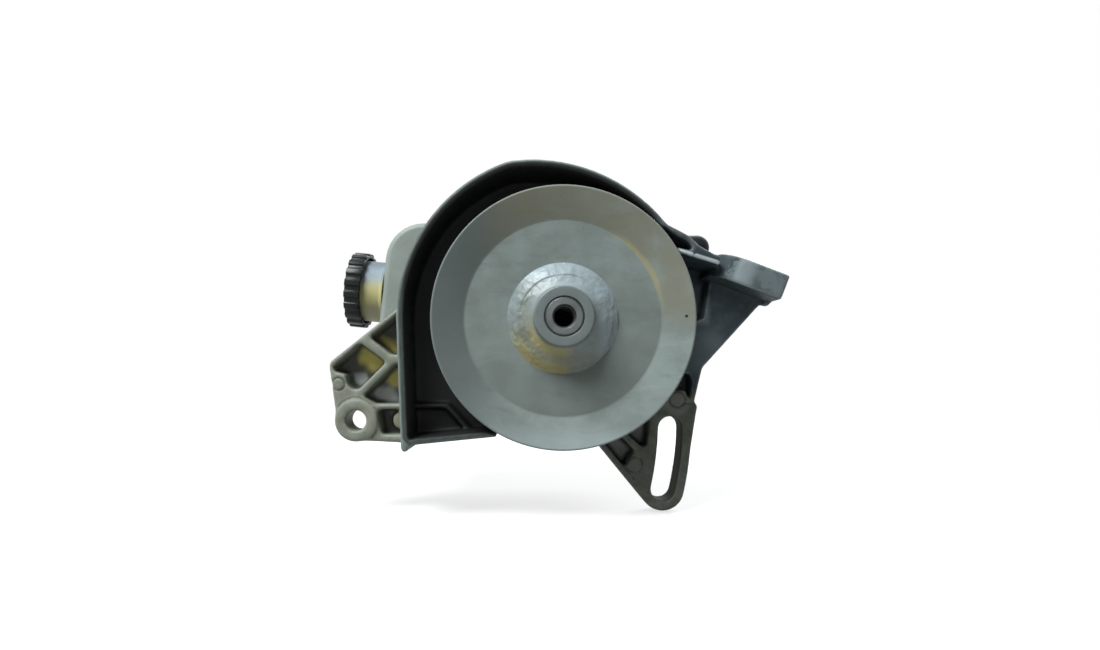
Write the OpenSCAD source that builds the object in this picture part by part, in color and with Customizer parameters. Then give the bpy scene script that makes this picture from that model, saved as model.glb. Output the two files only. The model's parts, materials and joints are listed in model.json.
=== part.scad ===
// Power steering pump: a vane pump in a sheet-steel reservoir, with a V-belt pulley and a cast guard bracket.
// Sizes are in millimetres. The origin is on the shaft axis in the middle of the belt groove, +Z is up and
// the pulley faces -Y.

/* [Shaft] */
// Radius of the drive shaft
shaft_r = 9.5; // [8.5:0.25:10.5]
// Radius of the shaft's rotor end
spline_r = 8; // [7:0.25:8.25]
// Radius of the tapped hole in the shaft nose
tap_r = 5; // [3:0.25:6]
// Depth of the tapped hole
tap_depth = 32; // [15:1:40]
// Radial clearance of the shaft in its bush
shaft_clear = 0.03; // [0.02:0.01:0.08]

/* [Pulley] */
// Outside radius of the pulley
pulley_r = 67; // [62:0.5:68]
// Radius where the flat web turns into the flanges
web_r = 50.5; // [45:0.5:53]
// Thickness of the pressed sheet
sheet_t = 2.5; // [1.5:0.1:3]
// Half angle of the belt groove
groove_half_angle = 18; // [16:0.5:20]
// How far the hub stands ahead of the belt plane
hub_front = 16; // [14:0.5:24]
// Radius of the hub collar
collar_r = 15; // [13.5:0.5:17]
// Length of the hub collar
collar_len = 4.5; // [3:0.5:6]
// Radius of the foot of the hub cone
cone_r = 25; // [21:0.5:30]
// Height of the foot of the hub cone
cone_foot = 2.5; // [1.5:0.25:4]
// Leg of the weld bead on the web
weld_leg = 3.5; // [2:0.5:5]
// Radius of the hub spigot in the web
spigot_r = 16.5; // [14:0.5:20]
// Radius of the hole in the rear disc
rear_hole_r = 30; // [20:1:40]
// How far the hub reaches behind the belt plane
hub_rear = 10; // [6:0.5:12]

/* [Guard] */
// Outside radius of the guard about the shaft
guard_r = 85.2; // [82:0.2:90]
// Centre of the crown arc, to the right of the shaft
crown_x = -15.3; // [-17:0.1:-13]
// Centre of the crown arc, above the shaft
crown_z = -6; // [-8:0.1:-4]
// Outside radius of the crown arc
crown_r = 87.4; // [86:0.2:90]
// Thickness of the guard wall
guard_wall = 4; // [3:0.25:5]
// Least gap between the pulley and the guard
guard_gap = 1.6; // [1:0.1:2]
// How far the guard reaches ahead of the belt plane
guard_front = 3; // [0:0.5:5]

/* [Bracket] */
// Back face of the bracket behind the belt plane
bracket_back = 28; // [26:0.5:32]
// Thickness of the base plate and pocket floors
plate_t = 5.5; // [4:0.25:7]
// Thickness of the two arms
arm_t = 14.5; // [12:0.5:17]
// How far the top of the slot pad leans out
pad_flare = 3.2; // [0:0.2:5]
// Thickness of the right-hand gusset
gusset_t = 14.5; // [10:0.5:17]
// Width of the casting's ribs
rib_w = 3; // [2:0.25:4]
// Corner radius of the pockets
pocket_r = 1.6; // [0.5:0.1:2]
// Pivot axis to the right of the shaft
pivot_x = -109.8; // [-114:0.2:-106]
// Pivot axis above the shaft
pivot_z = -53.4; // [-56:0.2:-50]
// Radius of the pivot bore
pivot_r = 5.5; // [4:0.25:6.5]
// Radius of the pivot boss
boss_r = 11.5; // [10:0.25:13]
// How far the pivot boss stands ahead of the arm
boss_lift = 1.5; // [0.5:0.25:3]
// Radius of the adjusting slot about the pivot
slot_radius = 168.6; // [165:0.2:171]
// Width of the adjusting slot
slot_w = 12.5; // [10:0.25:14]
// Direction of the top end of the slot from the pivot
slot_top_angle = -1.4; // [-2.5:0.1:0]
// Direction of the bottom end of the slot from the pivot
slot_bottom_angle = -12.7; // [-14:0.1:-11]
// Width of the pad round the slot
pad_w = 23.4; // [20:0.2:26]
// Slope of the lug to the right
lug_tilt = 21; // [15:1:25]
// Outer end of the lug along its slope
lug_end = 101; // [96:0.5:106]
// Length of the lug
lug_len = 37.5; // [34:0.5:42]
// Height of the lug's underside across its slope
lug_low = 48.8; // [46:0.2:51]
// Thickness of the lug
lug_t = 13.5; // [11:0.5:16]
// How far the lug reaches ahead of the belt plane
lug_front = 2; // [0:0.5:5]
// Radius of the lug's inner front corner
lug_corner_r = 14; // [8:0.5:18]

/* [Pump] */
// Radius of the hole in the bracket for the housing's pilot
pilot_r = 27; // [24:0.5:29]
// Radius of the housing flange
flange_r = 50; // [48:0.5:52]
// Thickness of the housing flange
flange_t = 6; // [4:0.5:8]
// Radius of the housing barrel
barrel_r = 42; // [41:0.5:44]
// Radius of the chamber that holds the rotor set
chamber_r = 36; // [34:0.5:37]
// Length of the shaft bush
bush_len = 20; // [14:1:22]
// Wall of the shaft bush
bush_wall = 2.5; // [1.5:0.25:4]
// Radius of the shaft seal
seal_r = 15; // [13:0.5:18]
// Length of the shaft seal
seal_len = 6; // [4:0.5:8]
// Thickness of the thrust plate
thrust_t = 6; // [4:0.5:8]
// Width of the rotor
rotor_w = 17.9; // [14:0.1:20]
// Radius of the rotor
rotor_r = 24; // [22:0.25:25]
// Side gap of the rotor and of each vane
rotor_gap = 0.05; // [0.03:0.01:0.1]
// Least gap between the rotor and the cam ring
cam_gap = 0.8; // [0.5:0.1:1.5]
// Rise of the cam ring above its least radius
cam_rise = 2.8; // [1.5:0.1:4]
// Thickness of a vane
vane_t = 1.6; // [1.2:0.1:2.2]
// Height of a vane
vane_h = 8; // [6:0.25:9]
// Inward travel of a vane in its slot
vane_travel = 1.2; // [0.6:0.1:2]
// Thickness of the pressure plate
pressure_t = 7; // [5:0.5:9]
// Free room for the spring behind the pressure plate
spring_room = 5; // [4:0.5:7]
// Thickness of the end plate
end_plate_t = 5; // [4:0.5:7]
// Thickness of the end plate's retaining ring
ring_t = 1.6; // [1:0.1:2.5]
// Radius of a dowel pin
dowel_r = 2; // [1.5:0.1:2.5]
// Radius of the circle of mounting bolts
bolt_circle_r = 35; // [33:0.5:37]
// Radius of a mounting bolt
bolt_r = 4; // [3:0.25:4.5]
// How far the mounting bolts reach into the housing
bolt_reach = 16; // [10:1:20]

/* [Flow valve] */
// Distance of the valve bore from the shaft
valve_offset = 49; // [48:0.5:51]
// Direction of the valve bore from the shaft, counted from +X towards +Z
valve_angle = 135; // [125:1:145]
// Radius of the valve bore
valve_r = 8; // [6.5:0.25:9]
// Wall of the housing round the valve bore
valve_wall = 6; // [5:0.5:7]
// Radial clearance of the valve in its bore
valve_clear = 0.03; // [0.02:0.01:0.05]
// Length of the valve
valve_len = 25.5; // [20:0.5:30]
// Travel of the valve
valve_travel = 8; // [4:0.5:10]
// Length of the valve spring when it is fully pressed
spring_pressed = 12; // [8:0.5:16]
// How far the outlet union reaches into the valve bore
union_reach = 17; // [12:0.5:20]
// Radius of the tapped outlet
outlet_r = 6.5; // [5:0.25:7]
// Depth of the tapped outlet
outlet_depth = 11; // [8:0.5:14]

/* [Reservoir] */
// Depth of the reservoir from its front face to its back
tank_depth = 76; // [74:1:90]
// Left wall of the reservoir at the height of the filler neck
tank_left = -101; // [-104:0.5:-96]
// Right wall of the reservoir
tank_right = 52; // [50:0.5:60]
// Top of the reservoir
tank_top = 58; // [56:0.5:62]
// Bottom of the reservoir
tank_bottom = -52; // [-56:0.5:-50]
// Corner radius of the reservoir
tank_corner_r = 22; // [12:0.5:26]
// Thickness of the reservoir sheet
tank_t = 1.2; // [0.8:0.1:2]
// Width of the rear seam
seam_w = 6; // [4:0.5:9]

/* [Filler] */
// Upward tilt of the filler neck
neck_tilt = 5.6; // [0:0.2:10]
// Height of the filler neck at the reservoir wall
neck_z = 19.8; // [14:0.2:24]
// Filler neck axis behind the reservoir's front face
neck_back = 20; // [19.5:0.5:30]
// Outside radius of the filler neck
neck_r = 18; // [15:0.25:18.5]
// Length of the filler neck
neck_len = 17; // [15:0.5:22]
// Radius of the filler cap over its ribs
cap_r = 22.3; // [21.5:0.1:25]
// Height of the filler cap
cap_h = 8.8; // [8:0.1:12]
// Depth of the grooves between the cap's ribs
cap_groove = 1.1; // [0.4:0.1:1.8]
// Number of ribs round the cap
cap_ribs = 20; // [10:1:24]
// Length of the dipstick
dipstick_len = 60; // [45:1:64]

/* [Return pipe] */
// Height of the return pipe
return_z = 48.3; // [46:0.1:50]
// Return pipe axis behind the belt plane
return_y = 60; // [56:0.5:70]
// Outside radius of the return pipe
return_r = 5; // [4:0.25:6]
// Free end of the return pipe
return_end = 88; // [82:0.5:92]
// Outside radius of the push-on cap
plug_r = 8; // [7:0.25:9]
// Length of the push-on cap
plug_len = 26; // [20:0.5:30]

/* [Hidden] */
$fn = 64;

// Small allowances that several pieces share
seat_gap = 0.3;
fit_gap = 0.1;
cut = 1;
edge = 0.6;
tap_chamfer = 0.8;
drill_over = 2;
oring_room = 0.15;

// Pulley section
flank_run = (pulley_r - web_r) * tan(groove_half_angle);
flank_sheet = sheet_t / cos(groove_half_angle);
bend_shift = (flank_sheet - sheet_t) / tan(groove_half_angle);

// Depths along the shaft, from the front to the back
chamber_step = 2;
barrel_lip = 3;
clip_t = 1.2;
clip_room = 1;
plate_front = bracket_back - plate_t;
arm_front = bracket_back - arm_t;
boss_front = arm_front - boss_lift;
gusset_front = bracket_back - gusset_t;
tank_front = bracket_back + flange_t;
tank_back = tank_front + tank_depth;
bush_front = bracket_back + seal_len;
bush_back = bush_front + bush_len;
chamber_front = bush_back + chamber_step;
cam_front = chamber_front + thrust_t;
cam_w = rotor_w + 2 * rotor_gap;
cam_back = cam_front + cam_w;
pressure_back = cam_back + pressure_t;
end_plate_front = pressure_back + spring_room;
end_plate_back = end_plate_front + end_plate_t;
ring_back = end_plate_back + ring_t;
barrel_back = ring_back + barrel_lip;
shoulder_y = chamber_front - chamber_step / 2;
clip_front = cam_back - rotor_gap;
shaft_end = clip_front + clip_t + clip_room;

// Seals, washers and retaining ring
washer_t = bolt_r * 0.4;
tank_oring_r = 1.1;
tank_oring_path = (flange_r + barrel_r) / 2;
plate_oring_r = 1.05;
plate_oring_path = chamber_r - oring_room / 3 - plate_oring_r;
plate_oring_y = (end_plate_front + end_plate_back) / 2;
union_oring_r = 0.8;
union_oring_path = valve_r + 1.5;
ring_bite = 1.4;
ring_width = 4.4;
ring_opening = 8;
clip_opening = 3;

// Rotor set
vane_count = 10;
clip_width = 3.2;
vane_tip = rotor_r + cam_gap - seat_gap;
vane_foot = vane_tip - vane_h;
vane_slot_foot = vane_foot - vane_travel - seat_gap;
cam_minor = rotor_r + cam_gap;
dowel_circle_r = (chamber_r + cam_minor + cam_rise) / 2;
clip_r = spline_r + clip_width;
port_step = 3;

// Flow valve
valve_x = valve_offset * cos(valve_angle);
valve_z = valve_offset * sin(valve_angle);
valve_lobe_back = tank_back - tank_t;
union_front = valve_lobe_back - union_reach;
valve_back = union_front - seat_gap;
valve_front = valve_back - valve_len;
valve_spring_len = spring_pressed + valve_travel;
valve_bottom = valve_front - valve_spring_len;

// Reservoir and filler
neck_y = tank_front + neck_back;
neck_wall = tank_t;
cap_overlap = 4.7;
gasket_t = 1.3;
neck_lip = 0.7;
lip_h = 1.6;
cap_low = neck_len - cap_overlap;
gasket_low = neck_len + seat_gap;
cap_inner = gasket_low + gasket_t;
cap_top = cap_low + cap_h;

// Marks and ribs of the casting
mark_lift = 0.4;
rib_drop = 4;
mark_depth = 2;
rib_z = -44.4;

// Guard and bracket outlines, as points to the right of and above the shaft
crown_centre = [crown_x, crown_z];
crown_d = norm(crown_centre);
crown_dir = atan2(crown_z, crown_x) + 360;
kink_angle = crown_dir - acos((guard_r^2 + crown_d^2 - crown_r^2) / (2 * guard_r * crown_d));
kink = guard_r * [cos(kink_angle), sin(kink_angle)];
crown_start = atan2(kink.y - crown_z, kink.x - crown_x);
crown_end = 38.4;
guard_end = 181;
lap = 2;
crown_foot = crown_centre + crown_r * [cos(crown_end), sin(crown_end)];
flare_mid = [64.6, 42.4];
flare_low = [70, 37.2];
lug_shoulder = [77.3, 33];
shelf_top = [80.8, 31.9];
shelf_tip = [80.4, 26.8];
shelf_root = [57, 34];
flare_pocket = [[48, 50], [57, 42.6], [63.4, 39.2], [67.4, 34.4], [58, 36.6], [40, 44]];
guard_corner = [-82.8, -66.4];
wall_foot = [-75.2, -64.6];
wall_end = [11.3, -56];
wall_t = rib_w + 0.5;
slope_top = [-86, 8.4];
slope_foot = [-124, -21.8];
arm_side = [-124.6, -24];
lug_axis = [cos(lug_tilt), -sin(lug_tilt)];
lug_up = [sin(lug_tilt), cos(lug_tilt)];
lug_seat = 3;
lug_root_top = lug_axis * (lug_end - lug_len + lug_seat) + lug_up * (lug_low + lug_t - cut);
lug_root_low = lug_axis * (lug_end - lug_len + lug_seat) + lug_up * (lug_low + cut);
nub = [3, 6, 2.4];
lug_tip_low = lug_axis * (lug_end - nub.x) + lug_up * (lug_low + cut);
gusset_foot = [76.1, -25.2];
shoulder_foot = [71.8, -43.4];
pad_in = slot_radius - pad_w / 2;
pad_out = slot_radius + pad_w / 2;
pad_top_angle = 2.6;
pivot = [pivot_x, pivot_z];
pad_corner = pivot + (pad_out + pad_flare) * [cos(pad_top_angle), sin(pad_top_angle)];
slot_end = pivot + slot_radius * [cos(slot_bottom_angle), sin(slot_bottom_angle)];
diagonal_low = slot_end + [-9.2, -7.2];
diagonal_top = wall_end;

// Outline helpers
function unit(v) = v / norm(v);
function corner_arc(a, b, c, r, n) =
    let (u = unit(a - b), v = unit(c - b), half = acos(u * v) / 2,
         centre = b + unit(u + v) * (r / sin(half)),
         p = b + u * (r / tan(half)) - centre,
         q = b + v * (r / tan(half)) - centre,
         from = atan2(p.y, p.x),
         sweep = ((atan2(q.y, q.x) - from + 540) % 360) - 180)
    [for (i = [0:n]) centre + r * [cos(from + sweep * i / n), sin(from + sweep * i / n)]];
function rounded(pts, r, n = 5) =
    [for (i = [0:len(pts) - 1])
        each corner_arc(pts[(i + len(pts) - 1) % len(pts)], pts[i], pts[(i + 1) % len(pts)], r, n)];
function polar(r, a) = r * [cos(a), sin(a)];
function reversed(list) = [for (i = [len(list) - 1:-1:0]) list[i]];
function arc_after(centre, r, from, to, n) = [for (i = [1:n]) centre + polar(r, from + (to - from) * i / n)];
// The guard from the foot of its crown round to its straight side, a set distance inside its outer face
function guard_line(inside) = concat([crown_foot - polar(inside, crown_end)],
    arc_after(crown_centre, crown_r - inside, crown_end, crown_start, 32),
    arc_after([0, 0], guard_r - inside, kink_angle, guard_end, 28));
// The round end of a slot about the pivot
function slot_cap(half, at, turn) =
    arc_after(pivot + polar(slot_radius, at), half, at + turn, at + turn + 180, 20);

// A plate drawn as seen from the front, between two depths
module slab(front, back) {
    rotate([90, 0, 0]) translate([0, 0, -back]) linear_extrude(back - front) children();
}

// A turned piece on the shaft axis, drawn as [radius, depth]
module turned() {
    rotate([-90, 0, 0]) rotate_extrude($fn = 96) children();
}

module round_bar(r, front, back) {
    translate([0, front, 0]) rotate([-90, 0, 0]) cylinder(r = r, h = back - front);
}

module at_front(x, z) {
    translate([x, 0, z]) children();
}

module sector(r, from, to) {
    polygon([[0, 0], polar(2 * r, from), polar(2 * r, (from + to) / 2), polar(2 * r, to)]);
}

module ring_sector(r_in, r_out, from, to) {
    intersection() {
        difference() {
            circle(r_out, $fn = 128);
            circle(r_in, $fn = 128);
        }
        sector(r_out, from, to);
    }
}

// A closed round wire on the shaft axis
module wire_ring(r, wire_r, depth) {
    turned() translate([r, depth]) circle(wire_r, $fn = 32);
}

// A coil spring along +Z, from the middle of one end turn to the middle of the other
module coil(r, wire_r, turns, length, sides = 8, steps = 20) {
    count = turns * steps;
    ring = [for (i = [0:count], k = [0:sides - 1])
        let (a = 360 * i / steps, b = 360 * k / sides, out = r + wire_r * cos(b))
        [out * cos(a), out * sin(a), length * i / count + wire_r * sin(b)]];
    walls = [for (i = [0:count - 1], k = [0:sides - 1])
        let (n = (k + 1) % sides)
        [i * sides + k, (i + 1) * sides + k, (i + 1) * sides + n, i * sides + n]];
    first = [for (k = [0:sides - 1]) k];
    last = [for (k = [sides - 1:-1:0]) count * sides + k];
    polyhedron(ring, concat(walls, [first, last]));
}

module bolt_places() {
    for (a = [45:90:315])
        at_front(bolt_circle_r * cos(a), bolt_circle_r * sin(a)) children();
}

module guard_wall_outline() {
    polygon(concat(guard_line(0), [guard_corner, guard_corner + [guard_wall, 0]],
        reversed(guard_line(guard_wall))));
    translate(guard_corner + [guard_wall / 2, 0]) circle(guard_wall / 2);
    polygon([guard_corner, wall_foot, wall_end, wall_end + [0, wall_t], wall_foot + [0, wall_t],
        guard_corner + [0, wall_t]]);
    difference() {
        polygon([crown_foot, flare_mid, flare_low, lug_shoulder, shelf_top, shelf_tip, shelf_root,
            crown_foot - polar(2 * guard_wall, crown_end),
            crown_centre + polar(crown_r - guard_wall / 2, crown_end + lap)]);
        polygon(rounded(flare_pocket, pocket_r / 2));
    }
}

module base_outline() {
    polygon(concat(guard_line(guard_wall / 2), [guard_corner + [guard_wall, wall_t] / 2,
        wall_foot + [0, wall_t / 2], wall_end + [0, wall_t / 2], shoulder_foot, gusset_foot, [72, 20]]));
    gusset_outline();
}

module gusset_outline() {
    polygon([crown_foot, flare_low, lug_root_top, lug_root_low, lug_tip_low, gusset_foot, shoulder_foot,
        [56, shoulder_foot.y], [56, 20]]);
}

module left_arm_outline() {
    polygon([slope_top, slope_foot, arm_side, [pivot_x - boss_r + 0.4, pivot_z + 3],
        [pivot_x, pivot_z - boss_r + 0.6], [-90, -65.2], guard_corner + [1, 0.5],
        guard_corner + [2, 20], [-82, 8.4]]);
    translate([pivot_x, pivot_z]) circle(boss_r);
}

module left_arm_pockets() {
    end = guard_corner.x + guard_wall / 3;
    polygon(rounded([[end, 8.6], [-102.8, -8.7], [-91, -18.1], [end, -17.3]], pocket_r));
    polygon(rounded([[-107.9, -11.8], [-94, -22], [-108.6, -36.6], [-112.4, -36.4], [-114.8, -33.6],
        [-115.4, -28.6], [-121.6, -27], [-122.4, -24.4]], pocket_r / 2));
    polygon(rounded([[-106.4, -40.2], [-88.6, -22.8], [end, -22.8], [end, -44.2], [-99.6, -44.4]], pocket_r));
    polygon(rounded([[-98.4, -47.4], [end, -47.4], [end, -60.5], [-96.2, -61], [-97.4, -54]], pocket_r));
}

module pad_outline() {
    polygon(concat([for (t = [0:0.1:1]) pivot + polar(pad_out + pad_flare * max(0, 2 * t^2 - t),
            slot_bottom_angle + t * (pad_top_angle - slot_bottom_angle))],
        [pivot + polar(pad_in, pad_top_angle)],
        arc_after(pivot, pad_in, pad_top_angle, slot_bottom_angle, 16),
        slot_cap(pad_w / 2, slot_bottom_angle, 180)));
}

module slot_outline() {
    polygon(concat(arc_after(pivot, slot_radius + slot_w / 2, slot_bottom_angle, slot_top_angle, 16),
        slot_cap(slot_w / 2, slot_top_angle, 0),
        arc_after(pivot, slot_radius - slot_w / 2, slot_top_angle, slot_bottom_angle, 16),
        slot_cap(slot_w / 2, slot_bottom_angle, 180)));
}

module slot_arm_outline() {
    polygon([diagonal_top, diagonal_low, slot_end, pivot + polar(slot_radius, pad_top_angle),
        [60, -40], [8, -48]]);
    pad_outline();
}

module slot_arm_pockets() {
    polygon(rounded([[17, -57.5], [34.6, -79], [36.6, -73], [40, -70], [31.5, -61.4]], pocket_r));
    polygon(rounded([[34.6, -59.4], [43.6, -67.6], [46.4, -66.6], [47.4, -51.5], [37, -51.5]], pocket_r));
}

module gusset_pockets() {
    polygon(rounded([[57, 34.5], [80, 28], [82, 25], [79.3, 20.3], [76.7, 1.5], [72.9, -0.1], [57, -0.5]],
        pocket_r / 2));
    polygon(rounded([[57, -29.5], [69, -28.2], [70.2, -32], [69.4, -41.6], [67.6, -41.6], [66.4, -37.6],
        [57, -37]], pocket_r / 2));
}

// Round marks left by the die's ejector pins
module ejector_marks() {
    at_front(-119.3, -33.8) round_bar(3.4, arm_front - mark_lift, plate_front);
    at_front(-85.6, -53.4) round_bar(5.2, arm_front + mark_depth, bracket_back);
    at_front(39.4, -77) round_bar(4.2, arm_front - mark_lift, bracket_back);
    at_front(62.4, -42) round_bar(4.2, arm_front + mark_lift, bracket_back);
}

module slot_block_outline() {
    polygon([[50, -36.6], [67.2, -37], [69.2, shoulder_foot.y], shoulder_foot, pad_corner,
        pad_corner - [0, lap], [50, -47]]);
}

module inner_rib_outline() {
    start = [guard_corner.x, rib_z];
    polygon([start, [-61, rib_z], [-47.5, -59], [-50.5, -60.5], [-62.5, rib_z - rib_w], start - [0, rib_w]]);
}

// The lug, with the nub under its outer end
module lug() {
    rotate([0, lug_tilt, 0]) translate([0, 0, lug_low]) {
        linear_extrude(lug_t) polygon(concat(
            [[lug_end - lug_len, bracket_back], [lug_end, bracket_back], [lug_end, -lug_front]],
            corner_arc([lug_end, -lug_front], [lug_end - lug_len, -lug_front],
                [lug_end - lug_len, bracket_back], lug_corner_r, 12)));
        translate([lug_end - nub.x - edge, gusset_front - nub.y / 2, -nub.z]) cube(nub + [0, 0, cut]);
    }
}

module bracket() {
    color("#a6aaa0") difference() {
        union() {
            slab(plate_front, bracket_back) base_outline();
            slab(-guard_front, bracket_back) difference() {
                guard_wall_outline();
                circle(pulley_r + guard_gap, $fn = 128);
            }
            slab(arm_front, bracket_back) left_arm_outline();
            at_front(pivot_x, pivot_z) round_bar(boss_r, boss_front, bracket_back);
            slab(arm_front, bracket_back) slot_arm_outline();
            slab(gusset_front, bracket_back) difference() {
                gusset_outline();
                gusset_pockets();
            }
            slab(arm_front + 2 * mark_lift, bracket_back) slot_block_outline();
            slab(arm_front + rib_drop, bracket_back) inner_rib_outline();
            ejector_marks();
            lug();
        }
        difference() {
            slab(arm_front - cut, plate_front) {
                difference() {
                    left_arm_pockets();
                    guard_wall_outline();
                }
                slot_arm_pockets();
            }
            ejector_marks();
        }
        slab(arm_front - cut, bracket_back + cut) slot_outline();
        at_front(pivot_x, pivot_z) round_bar(pivot_r, boss_front - cut, bracket_back + cut);
        round_bar(pilot_r, plate_front - cut, bracket_back + cut);
        bolt_places() round_bar(bolt_r + fit_gap, plate_front - cut, bracket_back + cut);
    }
}

module pulley_front_disc() {
    color("#8e9490") turned() polygon([[spigot_r, 0], [spigot_r, -sheet_t], [web_r - bend_shift, -sheet_t],
        [pulley_r - edge, -flank_run - flank_sheet + edge * tan(groove_half_angle)],
        [pulley_r, -flank_run - flank_sheet + edge], [pulley_r, -flank_run], [web_r, 0]]);
}

module pulley_rear_disc() {
    color("#8e9490") turned() polygon([[rear_hole_r, 0], [rear_hole_r, sheet_t],
        [web_r - bend_shift, sheet_t],
        [pulley_r - edge, flank_run + flank_sheet - edge * tan(groove_half_angle)],
        [pulley_r, flank_run + flank_sheet - edge], [pulley_r, flank_run], [web_r, 0]]);
}

module pulley_hub() {
    cone_top = -hub_front + collar_len;
    color("#979c98") turned() polygon([[shaft_r, -hub_front + edge], [shaft_r + edge, -hub_front],
        [collar_r - edge, -hub_front], [collar_r, -hub_front + edge], [collar_r, cone_top],
        [cone_r, -sheet_t - cone_foot], [cone_r, -sheet_t], [spigot_r, -sheet_t], [spigot_r, hub_rear],
        [shaft_r, hub_rear]]);
}

module hub_weld() {
    color("#a3a69c") turned() polygon(concat([[cone_r, -sheet_t]],
        [for (a = [0:15:90]) [cone_r + weld_leg * cos(a), -sheet_t - cone_foot * sin(a)]]));
}

module drive_shaft() {
    tip = -hub_front;
    color("#7d8284") turned() polygon([[tap_r + tap_chamfer, tip], [shaft_r - edge, tip],
        [shaft_r, tip + edge],
        [shaft_r, shoulder_y], [spline_r, shoulder_y], [spline_r, shaft_end], [0, shaft_end],
        [0, tip + tap_depth + tap_r / 2], [tap_r, tip + tap_depth], [tap_r, tip + tap_chamfer]]);
}

module pump_housing() {
    color("#6b6f70") difference() {
        union() {
            round_bar(flange_r, bracket_back, tank_front);
            round_bar(pilot_r - fit_gap, plate_front, bracket_back + cut);
            round_bar(barrel_r, bracket_back, barrel_back);
            at_front(valve_x, valve_z) round_bar(valve_r + valve_wall, tank_front - cut, valve_lobe_back);
        }
        round_bar(seal_r, plate_front - cut, bush_front);
        round_bar(shaft_r + bush_wall, bush_front - cut, bush_back);
        round_bar(shaft_r + seat_gap, bush_back - cut, chamber_front + cut);
        round_bar(chamber_r, chamber_front, barrel_back + cut);
        turned() translate([chamber_r - cut, end_plate_back]) square([cut + ring_bite + fit_gap, ring_t]);
        turned() translate([tank_oring_path - tank_oring_r - oring_room, tank_front - 2 * tank_oring_r])
            square([2 * (tank_oring_r + oring_room), 2 * tank_oring_r + cut]);
        at_front(valve_x, valve_z) round_bar(valve_r, valve_bottom, valve_lobe_back + cut);
        bolt_places() round_bar(bolt_r, bracket_back - cut, bracket_back + bolt_reach + drill_over);
    }
}

module shaft_bush() {
    color("#b08d4f") difference() {
        round_bar(shaft_r + bush_wall, bush_front, bush_back);
        round_bar(shaft_r + shaft_clear, bush_front - cut, bush_back + cut);
    }
}

module shaft_seal() {
    lip_t = 1.1;
    color("#2b2b2d") difference() {
        round_bar(seal_r, bracket_back, bush_front);
        round_bar(shaft_r + shaft_clear, bracket_back - cut, bush_front + cut);
        turned() translate([shaft_r + lip_t, bracket_back - cut])
            square([seal_r - shaft_r - 2 * lip_t - lip_t, cut + seal_len / 2]);
    }
}

module port_pair(r_in, r_out, front, back) {
    for (a = [0, 180])
        slab(front, back) rotate(a) ring_sector(r_in, r_out, 20, 70);
}

module dowel_holes(front, back) {
    for (a = [0, 180])
        rotate([0, a, 0]) at_front(dowel_circle_r, 0) round_bar(dowel_r, front, back);
}

module thrust_plate() {
    color("#85898b") difference() {
        round_bar(chamber_r, chamber_front, cam_front);
        round_bar(shaft_r, chamber_front - cut, cam_front + cut);
        port_pair(rotor_r - port_step, cam_minor, cam_front - thrust_t / 2, cam_front + cut);
        dowel_holes(chamber_front - cut, cam_front + cut);
    }
}

module cam_ring() {
    color("#7a7e80") difference() {
        round_bar(chamber_r, cam_front, cam_back);
        slab(cam_front - cut, cam_back + cut)
            polygon([for (a = [0:5:355]) polar(cam_minor + cam_rise * (1 - cos(2 * a + 90)) / 2, a)]);
        dowel_holes(cam_front - cut, cam_back + cut);
    }
}

module rotor() {
    color("#8b8f92") difference() {
        round_bar(rotor_r, cam_front + rotor_gap, cam_back - rotor_gap);
        round_bar(spline_r, cam_front - cut, cam_back + cut);
        for (i = [0:vane_count - 1])
            rotate([0, i * 360 / vane_count, 0])
                translate([vane_slot_foot, cam_front - cut, -vane_t / 2 - rotor_gap])
                    cube([rotor_r, cam_w + 2 * cut, vane_t + 2 * rotor_gap]);
    }
}

module rotor_clip() {
    color("#4c5052") difference() {
        round_bar(clip_r, clip_front, clip_front + clip_t);
        round_bar(spline_r, clip_front - cut, clip_front + clip_t + cut);
        translate([0, clip_front - cut, -clip_opening / 2])
            cube([2 * clip_r, clip_t + 2 * cut, clip_opening]);
    }
}

module vane(i) {
    color("#9da1a3") rotate([0, (i - 1) * 360 / vane_count, 0])
        translate([vane_foot, cam_front + rotor_gap, -vane_t / 2]) cube([vane_h, rotor_w, vane_t]);
}

module pressure_plate() {
    color("#85898b") difference() {
        round_bar(chamber_r, cam_back, pressure_back);
        round_bar(clip_r + clip_room, cam_back - cut, shaft_end + clip_room);
        port_pair(rotor_r - port_step, cam_minor, cam_back - cut, pressure_back + cut);
        dowel_holes(cam_back - cut, cam_back + pressure_t / 2);
    }
}

module dowel_pins() {
    color("#b5b8ba") dowel_holes(chamber_front, cam_back + pressure_t / 2);
}

module pressure_spring() {
    wire_r = 0.9;
    spring_r = chamber_r / 2;
    color("#54585a") translate([0, pressure_back + wire_r, 0]) rotate([-90, 0, 0])
        coil(spring_r, wire_r, 2, spring_room - 2 * wire_r);
}

module end_plate() {
    color("#7d8183") difference() {
        round_bar(chamber_r - fit_gap, end_plate_front, end_plate_back);
        turned() translate([plate_oring_path - plate_oring_r - oring_room / 3,
            plate_oring_y - plate_oring_r - oring_room])
            square([2 * plate_oring_r + cut, 2 * (plate_oring_r + oring_room)]);
    }
}

module end_plate_oring() {
    color("#1e1e20") wire_ring(plate_oring_path, plate_oring_r, plate_oring_y);
}

module end_plate_ring() {
    color("#4c5052") difference() {
        round_bar(chamber_r + ring_bite, end_plate_back, ring_back);
        round_bar(chamber_r + ring_bite - ring_width, end_plate_back - cut, ring_back + cut);
        translate([0, end_plate_back - cut, -ring_opening / 2])
            cube([2 * chamber_r, ring_t + 2 * cut, ring_opening]);
    }
}

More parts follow.
